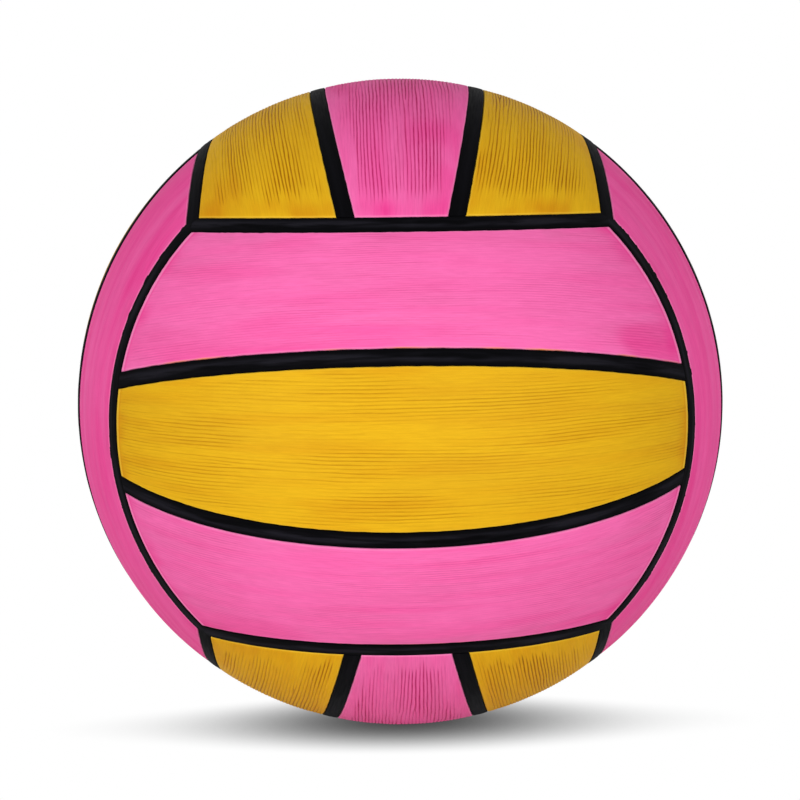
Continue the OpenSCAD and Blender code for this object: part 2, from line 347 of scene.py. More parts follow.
def makePanel(face, side, name, tone):
    # A closed slab: grooved outside, rounded rim, walls and a coarse underside.
    # side is -1, 0 or 1 across the face; -1 is the mirror image of 1
    outer = side != 0
    seed = pieceSeed(face, side)
    hole = cover["valveCells"] if (face, side) == ("back", 0) else None
    columns = cover["valveColumns"] if hole else cover["columns"][face]
    rows = cover["rows"][face]
    u, v = np.meshgrid(np.linspace(-1, 1, columns), np.linspace(0, 1, rows))
    rim = cover["rimRadius"]
    radius = ball["radius"]
    a, b = panelAngles(outer, u, v, np.full(u.shape, panelClearance + rim), np.full(u.shape, radius))
    along = a * radius
    sides, endGap = seamDistance(outer, spherePoint(a, b, np.ones_like(a)))
    sideGap = sides.min(axis=0)
    # Across is the distance from the inner seam, or from the middle panel's own middle,
    # mixed with the place in the panel's width there
    kind = face if face in groove["endFade"] else "other"
    share = groove["parallel"][kind][1 if outer else 0]
    if outer:
        straight = sides[0]
        even = panelClearance + v * (radius * (seamLat - innerTip) - 2 * panelClearance)
    else:
        straight = radius * np.arcsin(np.cos(a) * np.sin(b))
        even = b * radius
    across = share * straight + (1 - share) * even
    waver, *size = groove["fadeWaver"]
    uneven = waver * unevenField(seed + 5, along, across, *size)
    nearWaver, farWaver = groove["waverShares"]
    fade = smoothStep(*groove["endFade"][kind], endGap - uneven)
    fade *= smoothStep(*groove["innerFade" if outer else "sideFade"][kind], sides[0] - uneven * nearWaver)
    fade *= smoothStep(*groove["sideFade"][kind], sides[1] - uneven * farWaver)
    if hole:
        off = radius * np.hypot(np.sin(a), np.cos(a) * np.sin(b))
        fade *= smoothStep(*groove["valveFade"], off)
    valley = grooveField(seed, groove["pitch"][face][1 if outer else 0], groove["valleyPower"][kind],
                         groove["beading"][kind], along, across) * fade
    unit, limit, *size = cover["swell"]
    wave = np.clip(unevenField(seed + 6, along, across, *size) + limit, 0, 2 * limit)
    sink = groove["depth"][face] * valley + unit * wave * fade
    fall, reach = cover["sag" if face in ("left", "right") and not outer else "pillow"]
    sink += fall * (1 - smoothStep(panelClearance, panelClearance + reach, np.minimum(sideGap, endGap))) ** 2
    if face in ("left", "right") and outer:
        fall, reach = cover["hem"]
        sink += fall * (1 - smoothStep(panelClearance, panelClearance + reach, sides[0])) ** 2
    if hole:
        sink *= smoothStep(*cover["valveRise"], off)
    top = spherePoint(a, b, radius - sink)

    # The rim turns down through a quarter circle, then the wall drops to the underside
    loop = gridLoop(columns, 0, columns - 1, 0, rows - 1)
    uLoop, vLoop = u.ravel()[loop], v.ravel()[loop]
    loopAlong, loopAcross = along.ravel()[loop], across.ravel()[loop]
    unit, middle, most, size = cover["ragged"]
    ragged = unit * np.clip(middle + unevenField(seed + 7, loopAlong, loopAcross, size, size), 0, most)
    loopSink = sink.ravel()[loop]
    # values start with each point's share of painted groove shade: its valley times the face's tone
    points, values, rings = [top.reshape(-1, 3)], [valley.ravel() * groove["tone"][tone][face]], [loop]
    uvs = [np.stack([along, across], -1).reshape(-1, 2)]
    turns = np.linspace(0, math.pi / 2, cover["rimSteps"] + 1)[1:]
    stages = [(rim * (1 - math.sin(t)), rim * (1 - math.cos(t))) for t in turns]
    stages += [(0.0, ball["coverThickness"])]
    count = len(points[0])
    for inset, drop in stages:
        r = np.full(loop.shape, radius - drop)
        if drop < ball["coverThickness"]:
            r = r - loopSink
        la, lb = panelAngles(outer, uLoop, vLoop, panelClearance + inset + ragged * (1 - inset / rim), r)
        points.append(spherePoint(la, lb, r))
        values.append(np.zeros(len(loop)))
        uvs.append(np.stack([loopAlong, loopAcross + drop], -1))
        rings.append(count + np.arange(len(loop)))
        count += len(loop)
    coarseColumns, coarseRows = (columns - 1) // coarseStep + 1, (rows - 1) // coarseStep + 1
    cu, cv, coarseAcross = [grid[::coarseStep, ::coarseStep] for grid in (u, v, across)]
    under = np.full(cu.shape, coverInner)
    ca, cb = panelAngles(outer, cu, cv, np.full(cu.shape, panelClearance + cover["underInset"]), under)
    points.append(spherePoint(ca, cb, under).reshape(-1, 3))
    values.append(np.zeros(cu.size))
    uvs.append(np.stack([ca * radius, coarseAcross], -1).reshape(-1, 2))
    coarseStart = count
    count += cu.size
    coarseHole = tuple(n // coarseStep for n in hole) if hole else None
    faceSets = [gridCells(columns, rows, hole)]
    for upper, lower in zip(rings, rings[1:]):
        faceSets.append(loopWall(upper, lower))
    coarseLoop = coarseStart + gridLoop(coarseColumns, 0, coarseColumns - 1, 0, coarseRows - 1)
    faceSets.append(loopStitch(rings[-1], coarseLoop))
    faceSets.append(coarseStart + gridCells(coarseColumns, coarseRows, coarseHole)[:, ::-1])

    if hole:
        # Rows that pass from the block's outline to the valve's round hole
        inner = gridLoop(columns, *hole)
        start = top.reshape(-1, 3)[inner]
        angle = np.arctan2(start[:, 1], start[:, 0])
        lip = ball["valveHoleRadius"] + rim
        square = np.hypot(start[:, 0], start[:, 1])
        steps = [(share, lip, 0.0) for share in cover["valveRowShares"]]
        steps += [(0.0, lip - rim * math.sin(t), rim * (1 - math.cos(t))) for t in turns]
        steps += [(0.0, ball["valveHoleRadius"], ball["coverThickness"])]
        rings = [inner]
        for share, hub, drop in steps:
            far = share * square + (1 - share) * hub
            x, y = far * np.cos(angle), far * np.sin(angle)
            r = radius - drop
            points.append(np.stack([x, y, np.sqrt(r * r - x * x - y * y)], -1))
            values.append(np.zeros(len(inner)))
            uvs.append(np.stack([x, y + drop], -1))
            rings.append(count + np.arange(len(inner)))
            count += len(inner)
        for upper, lower in zip(rings, rings[1:]):
            faceSets.append(loopWall(upper, lower, inward=True))
        coarseInner = coarseStart + gridLoop(coarseColumns, *coarseHole)
        faceSets.append(loopStitch(rings[-1], coarseInner, inward=True))

    allPoints, allUv = np.concatenate(points), np.concatenate(uvs)
    sides, endGap = seamDistance(outer, allPoints)
    sideGap = sides.min(axis=0)
    border = outer & (sides[1] < np.minimum(sides[0], endGap))
    upright = face in ("front", "back")
    below = outer & upright & (border if side < 0 else ~border & (endGap > sides[0]))
    # valley carries the painted groove shade; endDistance places the painted end highlight and the crease's
    # painted shade
    fields = {"valley": np.concatenate(values),
              "pigment": pigmentField(seed, face, tone, name, allUv[:, 0], allUv[:, 1], sideGap, endGap),
              "flash": np.where(border, *cover["flashShares"]),
              "fringe": np.where(below, 1.0, 0.0),
              "endDistance": endGap * mmPerMetre + (0 if upright else cover["noEndLight"]),
              "seamDistance": np.minimum(sideGap, endGap) * mmPerMetre}
    if side < 0:
        allPoints = allPoints * [1, -1, 1]
    turn = faceTurns[face]
    flip = (np.linalg.det(turn) < 0) != (side < 0)
    return makeMesh(name, allPoints @ turn.T, faceSets, fields, allUv * uvPerMetre, flip)


# The strips between the panels; sizes in metres
strip = {
    "drop": 0.00003,  # how far its crest lies under the top of the cover
    "crown": 0.00010,
    "columns": 121,
    "acrossSteps": 14,
    "crowding": 0.92,  # how far its lines crowd towards its edges, up to 1
    "shoulder": 0.00018,  # radius of its rounded upper edges
    "shoulderTurn": 0.98,  # how near those edges come to upright, up to 1
    "ripple": (0.000018, 1.2, 0.009, 0.0012),  # its low waves: unit, half range, size
    "firstSeed": 4900,
    "sheenShare": byFace(0.2, 0.3, 1.2, 1.0, back=1.0),  # how strong the painted sheen on its crest is, by face
}


def edgeEnds(radial, offset):
    # Angle at which a long side's strip meets the two mitre planes at a corner,
    # 2x - y - z = 0 and -x - y + 2z = 0, for a point at this radius and offset
    rho = radial * math.cos(seamLat) - offset * math.sin(seamLat)
    y = radial * math.sin(seamLat) + offset * math.cos(seamLat)
    lean = math.atan2(1, 2)
    ratio = np.clip(y / (rho * math.sqrt(5)), -1, 1)
    return np.minimum(lean + np.arcsin(ratio), np.arccos(ratio) - lean)


def innerEnds(radial, offset):
    # Angle at which an inner strip meets the flank of the slot at its end
    away = np.hypot(radial, offset)
    height = away * np.sin(seamLat + np.arcsin(panelClearance / away))
    return np.arccos((height + offset * math.sin(innerTip)) / (radial * math.cos(innerTip)))


def makeStrip(face, side, inner, name):
    # A crowned bar carried along its seam's circle, cut to a mitre or a butt at
    # its ends: angle = share along * end angle for each place across
    seed = strip["firstSeed"] + pieceSeed(face, side) + inner
    half, crest = ball["stripWidth"] / 2, ball["radius"] - strip["drop"]
    crowding = strip["crowding"]
    share = np.sin(np.linspace(-1, 1, strip["acrossSteps"] + 1) * math.pi / 2 * crowding)
    share /= math.sin(math.pi / 2 * crowding)
    offset = half * share
    corner = np.clip((np.abs(offset) - (half - strip["shoulder"])) / strip["shoulder"], 0, 1)
    turned = 1 - np.sqrt(1 - corner ** 2 * strip["shoulderTurn"])
    height = crest - strip["crown"] * share ** 2 - strip["shoulder"] * turned
    w, t = np.meshgrid(np.linspace(-1, 1, strip["columns"]), offset)
    ends = innerEnds if inner else edgeEnds
    lat = 0.0 if inner else seamLat
    sheets, uvs, across = [], [], len(offset)
    for level in (np.broadcast_to(height[:, None], w.shape), np.full(w.shape, coverInner)):
        reach = ends(level, t)
        angle = w * reach
        along = angle * ball["radius"]
        r = level.copy()
        if not sheets:
            unit, limit, *size = strip["ripple"]
            r -= unit * np.clip(unevenField(seed, along, t, *size) + limit, 0, 2 * limit)
        rho = r * math.cos(lat) - t * math.sin(lat)
        y = r * math.sin(lat) + t * math.cos(lat)
        point = np.stack([rho * np.sin(angle), y, rho * np.cos(angle)], -1)
        if inner:
            c, s = math.cos(innerTip), math.sin(innerTip)
            point = point @ np.array([[1, 0, 0], [0, c, s], [0, -s, c]]).T
        sheets.append(point.reshape(-1, 3))
        uvs.append(np.stack([along, t], -1).reshape(-1, 2))
    columns = strip["columns"]
    upper = gridCells(columns, across)
    lower = (upper + len(sheets[0]))[:, ::-1]
    rim = gridLoop(columns, 0, columns - 1, 0, across - 1)
    faceSets = [upper, lower, loopWall(rim, rim + len(sheets[0]))]
    points = np.concatenate(sheets)
    if side < 0:
        points = points * [1, -1, 1]
    turn = faceTurns[face]
    flip = (np.linalg.det(turn) < 0) != (side < 0)
    # each point's share of the painted sheen on the crest, by face
    sheenShare = np.full(len(points), strip["sheenShare"][face])
    uv = np.concatenate(uvs) * uvPerMetre
    bar = makeMesh(name, points @ turn.T, faceSets, {"sheenShare": sheenShare}, uv, flip)
    ends = np.empty(len(bar.data.edges) * 2, np.int32)
    bar.data.edges.foreach_get("vertices", ends)
    onRim = np.isin(ends.reshape(-1, 2), rim).all(axis=1)
    bar.data.attributes.new("sharp_edge", "BOOLEAN", "EDGE").data.foreach_set("value", onRim)
    return bar


def screenColour(red, green, blue):
    # A colour read off a screen, 0 to 255 a channel, as linear light
    channels = [c / 255 for c in (red, green, blue)]
    return [c / 12.92 if c <= 0.04045 else ((c + 0.055) / 1.055) ** 2.4 for c in channels] + [1.0]


def feed(tree, socket, value):
    # A socket takes another node's output as a link, and anything else as its value
    if isinstance(value, bpy.types.NodeSocket):
        tree.links.new(value, socket)
    else:
        socket.default_value = value


def addNode(tree, kind, inputs=None, **options):
    # A shader node with its options set and its inputs fed
    node = tree.nodes.new("ShaderNode" + kind)
    for name, value in options.items():
        setattr(node, name, value)
    for name, value in (inputs or {}).items():
        feed(tree, node.inputs[name], value)
    return node


def calc(tree, operation, first, second=0.0):
    # One Math node
    return addNode(tree, "Math", {0: first, 1: second}, operation=operation).outputs[0]


def times(tree, first, *others):
    # The product of several values, from left to right
    for value in others:
        first = calc(tree, "MULTIPLY", first, value)
    return first


def mixColour(tree, factor, first, second):
    # The first colour at factor 0, and the second at 1
    inputs = {0: factor, 6: first, 7: second}
    return addNode(tree, "Mix", inputs, data_type="RGBA").outputs[2]


def between(tree, value, low, high, start=0.0, end=1.0):
    # A smooth step from start, where the value is low, to end, where it is high
    inputs = {"Value": value, "From Min": low, "From Max": high, "To Min": start, "To Max": end}
    return addNode(tree, "MapRange", inputs, interpolation_type="SMOOTHSTEP").outputs[0]


def addBump(tree, shader, strength, distance, height):
    # Tilts a shader's normal by a height that stands for so many metres
    bump = addNode(tree, "Bump", {"Strength": strength, "Distance": distance, "Height": height})
    feed(tree, shader.inputs["Normal"], bump.outputs[0])


def newGroup(name, inputs, outputs):
    # An empty node group; an input whose value is None is a vector
    tree = bpy.data.node_groups.new(name, "ShaderNodeTree")
    for label, value in inputs.items():
        kind = "NodeSocketVector" if value is None else "NodeSocketFloat"
        socket = tree.interface.new_socket(label, in_out="INPUT", socket_type=kind)
        if value is not None:
            socket.default_value = value
    for label in outputs:
        tree.interface.new_socket(label, in_out="OUTPUT", socket_type="NodeSocketFloat")
    return tree, tree.nodes.new("NodeGroupInput").outputs, tree.nodes.new("NodeGroupOutput").inputs


def useGroup(tree, group, **inputs):
    # Places a group in a material, and hands out its outputs
    node = tree.nodes.new("ShaderNodeGroup")
    node.node_tree = group
    for name, value in inputs.items():
        feed(tree, node.inputs[name], value)
    return node.outputs


def buildCloudGroup():
    # Soft patches, some millimetres to centimetres across, where the colour changes
    inputs = {"Place": None, "Size": 30.0, "Low": 0.45, "High": 0.7}
    tree, given, made = newGroup("pigmentClouds", inputs, ["Mask"])
    scale = calc(tree, "DIVIDE", mmPerMetre, given["Size"])
    inputs = {"Vector": given["Place"], "Scale": scale, "Detail": 3.0, "Roughness": 0.55, "Distortion": 0.4}
    noise = addNode(tree, "TexNoise", inputs).outputs[0]
    feed(tree, made["Mask"], between(tree, noise, given["Low"], given["High"]))
    return tree


def buildStreakGroup():
    # Fine strokes that follow the piece's own length, sizes in millimetres
    tree, given, made = newGroup("lengthStreaks", {"Length": 8.0, "Width": 0.5}, ["Value"])
    uv = addNode(tree, "UVMap", uv_map="alongAcross").outputs[0]
    split = addNode(tree, "SeparateXYZ", {0: uv}).outputs
    along = calc(tree, "DIVIDE", times(tree, split[0], mmPerUv), given["Length"])
    across = calc(tree, "DIVIDE", times(tree, split[1], mmPerUv), given["Width"])
    place = addNode(tree, "CombineXYZ", {0: along, 1: across}).outputs[0]
    inputs = {"Vector": place, "Scale": 1.0, "Detail": 3.0, "Roughness": 0.6, "Distortion": 0.3}
    feed(tree, made["Value"], addNode(tree, "TexNoise", inputs).outputs[0])
    return tree


def buildGrainGroup():
    # Close rubber grain: small rounded pebbles under a finer haze
    finer, pebbleShare = 1.9, 0.6
    tree, given, made = newGroup("rubberGrain", {"Place": None, "Pitch": 0.5}, ["Height"])
    place, scale = given["Place"], calc(tree, "DIVIDE", mmPerMetre, given["Pitch"])
    inputs = {"Vector": place, "Scale": scale, "Randomness": 1.0}
    pebble = addNode(tree, "TexVoronoi", inputs, feature="SMOOTH_F1").outputs[0]
    inputs = {"Vector": place, "Scale": times(tree, scale, finer), "Detail": 2.0}
    haze = addNode(tree, "TexNoise", inputs).outputs[0]
    feed(tree, made["Height"], calc(tree, "SUBTRACT", haze, times(tree, pebble, pebbleShare)))
    return tree


cloudGroup, streakGroup, grainGroup = buildCloudGroup(), buildStreakGroup(), buildGrainGroup()


def newMaterial(name):
    # A Principled material with its output, and the coordinates of its object
    material = bpy.data.materials.new(name)
    material.use_nodes = True
    tree = material.node_tree
    tree.nodes.clear()
    shader = tree.nodes.new("ShaderNodeBsdfPrincipled")
    output = tree.nodes.new("ShaderNodeOutputMaterial")
    tree.links.new(shader.outputs[0], output.inputs["Surface"])
    place = addNode(tree, "TexCoord").outputs["Object"]
    return material, tree, shader, place


# The two cover colours: the plain one, the paler bands and deeper patches in it (the
# deeper one also paints the shade of the crease at a panel's ends), the painted shade
# of the grooves, which also tints fine streaks, the painted highlight of the rim, and
# the tint that creeps in from a neighbouring panel
coverColours = {
    "pink": {"plain": (254, 115, 184), "worn": (232, 110, 168), "deep": (246, 62, 150),
             "groove": (180, 0, 88), "rim": (255, 158, 204), "creep": (244, 146, 92)},
    "yellow": {"plain": (234, 182, 28), "worn": (219, 166, 30), "deep": (214, 138, 16),
               "groove": (160, 97, 2), "rim": (246, 206, 66), "creep": (222, 148, 36)},
}
# Distances are in millimetres from the middle of a seam. Four numbers are a step: it
# goes from the third to the fourth as its pattern goes from the first to the second.
coverFinish = {
    "bands": {"Length": 70.0, "Width": 13.0},
    "patches": {"Size": 26.0, "Low": 0.45, "High": 0.66},
    "streaks": {"Length": 7.0, "Width": 0.45},
    "scratches": {"Length": 3.0, "Width": 0.22},
    "nicks": {"Scale": 250.0, "Detail": 3.0, "Roughness": 0.6},
    "grainPitch": 0.42,
    "worn": (0.42, 0.66, 0.0, 1.0),
    "wornShare": 0.35,
    "hazeReach": (3.0, 9.0, 1.0, 0.0),
    "hazeBorder": (0.5, 1.0, 0.0, 1.0),
    "haze": (0.0, 1.0, 0.15, 0.6),  # how much of the paler tone lies along a panel's outer border
    "deep": (0.44, 0.30, 0.0, 0.15),
    "stroke": (0.36, 0.66, 1.0, 0.0),
    "strokeShare": 0.12,
    "valley": (0.06, 1.0, 0.0, 1.0),
    "beads": (0.35, 0.65, 0.72, 1.0),  # the share of its painted shade that a groove keeps
    # the painted highlight on the rounded rim
    "rim": (2.7, 3.3, 0.4, 0.0),
    "lip": 4.2,  # where the painted highlight at a panel's ends stops
    "endHighlightSlope": (-0.3, 0.1),
    "creaseSlope": (-0.1, 0.2, 1.2),  # the crease behind it, which takes painted shade in the deeper colour: start, bottom and stop
    # how much painted highlight the end band takes, and painted shade the crease
    "endLightAndShadeShare": 0.5,
    "creep": (2.75, 3.1, 1.0, 0.0),
    "flash": (0.40, 0.70, 0.0, 0.46),  # how far the black of a seam strays over the rim
    "flashReach": (2.42, 2.50, 1.0, 0.0),
    "flashColour": (12, 12, 15),
    "roughness": (0.3, 0.7, 0.50, 0.66),
    "gloss": 0.04,
    "bump": 0.25,
    "bumpDistance": 0.0001,  # in metres
    "relief": (0.6, 1.0, 1.1, -1.5),  # shares of the grain, scratches, streaks and crease
}


def coverMaterial(name, tone):
    # Matte rubber: banded and patchy pigment, grooves darkened by painted shade and a rim
    # paled by a painted highlight, over whose foot the black of the seam creeps unevenly;
    # the ends of front and back panels carry a band of painted highlight with the painted
    # shade of a crease behind it
    material, tree, shader, place = newMaterial(name)
    finish = coverFinish
    colours = {part: screenColour(*value) for part, value in coverColours[tone].items()}
    valley, reach, ends, pigments, flash, fringe = [
        addNode(tree, "Attribute", attribute_name=label).outputs["Fac"]
        for label in ("valley", "seamDistance", "endDistance", "pigment", "flash", "fringe")]
    bands, streaks, scratches = [
        useGroup(tree, streakGroup, **finish[label])["Value"] for label in ("bands", "streaks", "scratches")]
    patches = useGroup(tree, cloudGroup, Place=place, **finish["patches"])["Mask"]
    grain = useGroup(tree, grainGroup, Place=place, Pitch=finish["grainPitch"])["Height"]

    worn = times(tree, between(tree, bands, *finish["worn"]), finish["wornShare"])
    haze = times(tree, between(tree, reach, *finish["hazeReach"]),
                 between(tree, flash, *finish["hazeBorder"]), between(tree, patches, *finish["haze"]))
    colour = mixColour(tree, calc(tree, "ADD", worn, haze), colours["plain"], colours["worn"])
    deep = calc(tree, "ADD", pigments, between(tree, bands, *finish["deep"]))
    colour = mixColour(tree, calc(tree, "MINIMUM", deep, 1.0), colour, colours["deep"])
    stroke = times(tree, between(tree, streaks, *finish["stroke"]), finish["strokeShare"])
    colour = mixColour(tree, stroke, colour, colours["groove"])
    # Painted shade: the grooves take the groove colour by the valley attribute, broken into beads
    beads = between(tree, scratches, *finish["beads"])
    dark = times(tree, between(tree, valley, *finish["valley"]), beads)
    colour = mixColour(tree, dark, colour, colours["groove"])

    # Painted highlight: the rim, and a band at the ends of front and back panels (lip), take the rim colour
    start, stop = [finish["lip"] + step for step in finish["endHighlightSlope"]]
    lip = times(tree, between(tree, ends, start, stop, 1.0, 0.0), finish["endLightAndShadeShare"])
    rim = between(tree, reach, *finish["rim"])
    colour = mixColour(tree, calc(tree, "MAXIMUM", rim, lip), colour, colours["rim"])
    # Painted shade: the crease behind the end highlight takes the deeper colour; its relief below is a real
    # bump
    start, bottom, stop = [finish["lip"] + step for step in finish["creaseSlope"]]
    crease = times(tree, between(tree, ends, start, bottom), between(tree, ends, bottom, stop, 1.0, 0.0))
    colour = mixColour(tree, times(tree, crease, finish["endLightAndShadeShare"]), colour, colours["deep"])
    creep = times(tree, between(tree, reach, *finish["creep"]), patches, fringe)
    colour = mixColour(tree, creep, colour, colours["creep"])
    nicks = addNode(tree, "TexNoise", {"Vector": place, **finish["nicks"]}).outputs[0]
    stray = times(tree, between(tree, nicks, *finish["flash"]), flash)
    black = between(tree, calc(tree, "SUBTRACT", reach, stray), *finish["flashReach"])
    colour = mixColour(tree, black, colour, screenColour(*finish["flashColour"]))
    feed(tree, shader.inputs["Base Color"], colour)

    feed(tree, shader.inputs["Roughness"], between(tree, scratches, *finish["roughness"]))
    shader.inputs["Specular IOR Level"].default_value = finish["gloss"]
    height = None
    for layer, share in zip((grain, scratches, streaks, crease), finish["relief"]):
        part = times(tree, layer, share)
        height = part if height is None else calc(tree, "ADD", height, part)
    addBump(tree, shader, finish["bump"], finish["bumpDistance"], height)
    return material


# The plain rubbers inside the ball, with the pitch of their grain in millimetres
rubbers = {
    "lining": {"name": "carcassRubber", "dark": (38, 37, 38), "light": (62, 60, 60),
               "roughness": (0.7, 0.85), "pitch": 1.2, "bump": 0.4, "gloss": 0.3},
    "bladder": {"name": "bladderRubber", "dark": (16, 17, 18), "light": (34, 35, 38),
                "roughness": (0.45, 0.6), "pitch": 1.6, "bump": 0.3, "gloss": 0.35},
    "valve_housing": {"name": "valveRubber", "dark": (14, 14, 16), "light": (26, 26, 29),
                      "roughness": (0.5, 0.65), "pitch": 0.6, "bump": 0.35, "gloss": 0.2},
    "valve_plug": {"name": "plugRubber", "dark": (30, 30, 33), "light": (46, 46, 50),
                   "roughness": (0.45, 0.6), "pitch": 0.5, "bump": 0.35, "gloss": 0.25},
}
rubberClouds = {"Size": 12.0, "Low": 0.35, "High": 0.7}
rubberBump = 0.00008  # height of the grain, in metres


def rubberMaterial(name, dark, light, roughness, pitch, bump, gloss):
    # Plain rubber: two close tones in soft clouds, and a grain
    material, tree, shader, place = newMaterial(name)
    clouds = useGroup(tree, cloudGroup, Place=place, **rubberClouds)["Mask"]
    grain = useGroup(tree, grainGroup, Place=place, Pitch=pitch)["Height"]
    colour = mixColour(tree, clouds, screenColour(*dark), screenColour(*light))
    feed(tree, shader.inputs["Base Color"], colour)
    feed(tree, shader.inputs["Roughness"], between(tree, grain, 0.0, 1.0, *roughness))
    shader.inputs["Specular IOR Level"].default_value = gloss
    addBump(tree, shader, bump, rubberBump, grain)
    return material


# The black of the strips, with a painted bluish-grey sheen along each crest: crest is its colour, and
# crestReach, strokes, strokeTone, broad and broadTone shape it (strokes also set roughness and bump)
seam = {
    "dark": (6, 6, 8),
    "crest": (29, 28, 34),
    "crestReach": (0.3, 2.0, 1.0, 0.0),  # a step, as above; here from the crest of a strip
    "strokes": {"Length": 9.0, "Width": 0.5},
    "strokeTone": (0.25, 0.65, 0.45, 1.0),
    "broad": {"Length": 34.0, "Width": 3.0},
    "broadTone": (0.38, 0.62, 0.0, 1.0),
    "grainPitch": 0.5,
    "grainHeight": 0.5,
    "roughness": (0.3, 0.7, 0.55, 0.7),
    "gloss": 0.015,
    "bump": 0.3,
}


def seamMaterialOf(name):
    # Black rubber with a painted bluish-grey sheen along the crest of each strip, broken
    # into strokes that follow its length; across is the distance from the crest, in millimetres
    material, tree, shader, place = newMaterial(name)
    uv = addNode(tree, "UVMap", uv_map="alongAcross").outputs[0]
    across = times(tree, addNode(tree, "SeparateXYZ", {0: uv}).outputs[1], mmPerUv)
    strokes = useGroup(tree, streakGroup, **seam["strokes"])["Value"]
    broad = useGroup(tree, streakGroup, **seam["broad"])["Value"]
    grain = useGroup(tree, grainGroup, Place=place, Pitch=seam["grainPitch"])["Height"]
    sheenShare = addNode(tree, "Attribute", attribute_name="sheenShare").outputs["Fac"]
    crest = between(tree, calc(tree, "ABSOLUTE", across), *seam["crestReach"])
    paintedSheen = times(tree, crest, between(tree, broad, *seam["broadTone"]),
                   between(tree, strokes, *seam["strokeTone"]), sheenShare)
    paintedSheen = calc(tree, "MINIMUM", paintedSheen, 1.0)
    colour = mixColour(tree, paintedSheen, screenColour(*seam["dark"]), screenColour(*seam["crest"]))
    feed(tree, shader.inputs["Base Color"], colour)
    feed(tree, shader.inputs["Roughness"], between(tree, strokes, *seam["roughness"]))
    shader.inputs["Specular IOR Level"].default_value = seam["gloss"]
    height = calc(tree, "ADD", times(tree, grain, seam["grainHeight"]), strokes)
    addBump(tree, shader, seam["bump"], rubberBump, height)
    return material


thread = {
    "turns": ((0.3, 0.9, 0.2), (1.4, 0.2, 1.1), (2.3, 1.2, 0.4)),  # how each set lies, in radians
    "wave": {"Scale": 420.0, "Distortion": 1.5, "Detail": 1.0},
    "dark": (120, 110, 88),
    "light": (226, 218, 196),
    "roughness": (0.9, 0.75),
    "bump": 0.6,
    "bumpDistance": 0.0002,
}


def threadMaterial(name):
    # Wound thread: three sets of close turns that cross, each shaded as a cord
    material, tree, shader, place = newMaterial(name)
    height = None
    for turn in thread["turns"]:
        lay = addNode(tree, "Mapping", {"Vector": place, "Rotation": turn}).outputs[0]
        wave = addNode(tree, "TexWave", {"Vector": lay, **thread["wave"]}).outputs["Fac"]
        height = wave if height is None else calc(tree, "MAXIMUM", height, wave)
    colour = mixColour(tree, height, screenColour(*thread["dark"]), screenColour(*thread["light"]))
    feed(tree, shader.inputs["Base Color"], colour)
    feed(tree, shader.inputs["Roughness"], between(tree, height, 0.0, 1.0, *thread["roughness"]))
    addBump(tree, shader, thread["bump"], thread["bumpDistance"], height)
    return material


coverMaterials = {tone: coverMaterial(tone + "Cover", tone) for tone in coverColours}
seamMaterial = seamMaterialOf("blackSeam")
print("materials built")

# Every panel and strip takes the place of its CAD node
for face in faceTurns:
    capped = face in ("top", "bottom")
    low, high = sideNames[face]
    for side, part in ((-1, low), (0, "middle"), (1, high)):
        tone = "pink" if (side == 0) == capped else "yellow"
        node = f"{face}_{part}_panel"
        panel = makePanel(face, side, f"cover_{face}_{part}", tone)
        panel.data.materials.append(coverMaterials[tone])
        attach(panel, "root")
        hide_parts(node)
    for side in (-1, 1):
        for inner in (False, True):
            names = innerNames if inner else sideNames
            word = names[face][(side + 1) // 2] + ("" if inner else "_edge")
            bar = makeStrip(face, side, inner, f"seam_{face}_{word}")
            bar.data.materials.append(seamMaterial)
            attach(bar, "root")
            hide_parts(f"{face}_{word}_strip")
    print("face", face, "covered")

# The pieces that keep their CAD shape
carriedOver = {node: rubberMaterial(**settings) for node, settings in rubbers.items()}
carriedOver["winding"] = threadMaterial("windingThread")
carriedOver["valve_patch"] = carriedOver["lining"]
for node, material in carriedOver.items():
    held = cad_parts[node]
    held.data.materials.clear()
    held.data.materials.append(material)
print("inner layers and valve finished")

# Camera, fitted to the photograph: distances in ball radii, angles in degrees,
# focal length in pixels of an image 800 wide, height of the point it aims at in metres
cameraSetup = {
    "distance": 5.3,
    "elevation": 7.43,
    "yaw": 0.68,
    "roll": -0.72,
    "focal": 1681.0,
    "imageWidth": 800,
    "sensor": 36.0,
    "aimHeight": 0.00045,
}


def levelAxes(back):
    # The axes to the right and up of something level that looks along -back
    right = np.cross([0, 0, 1], back)
    right /= np.linalg.norm(right)
    return right, np.cross(back, right)


def placeByAxes(thing, right, up, back, spot):
    # Stands a thing at a spot with its own three axes along the ones given
    axes = np.vstack([np.column_stack([right, up, back, spot]), [0, 0, 0, 1]])
    thing.matrix_world = Matrix(axes.tolist())
    scene.collection.objects.link(thing)


def addCamera(setup):
    # Stands off the ball by two angles and a distance, aims near its middle and rolls
    far = setup["distance"] * ball["radius"]
    elevation, yaw = math.radians(setup["elevation"]), math.radians(setup["yaw"])
    flat = math.cos(elevation)
    spot = np.array([-math.sin(yaw) * flat, -math.cos(yaw) * flat, math.sin(elevation)]) * far
    aim = np.array([0, 0, setup["aimHeight"]])
    back = (spot - aim) / np.linalg.norm(spot - aim)
    right, up = levelAxes(back)
    roll = math.radians(setup["roll"])
    rolledRight = math.cos(roll) * right + math.sin(roll) * up
    rolledUp = math.cos(roll) * up - math.sin(roll) * right
    lens = bpy.data.cameras.new("camera")
    lens.sensor_width = setup["sensor"]
    lens.lens = setup["focal"] / setup["imageWidth"] * lens.sensor_width
    camera = bpy.data.objects.new("camera", lens)
    placeByAxes(camera, rolledRight, rolledUp, back, spot)
    scene.camera = camera


addCamera(cameraSetup)

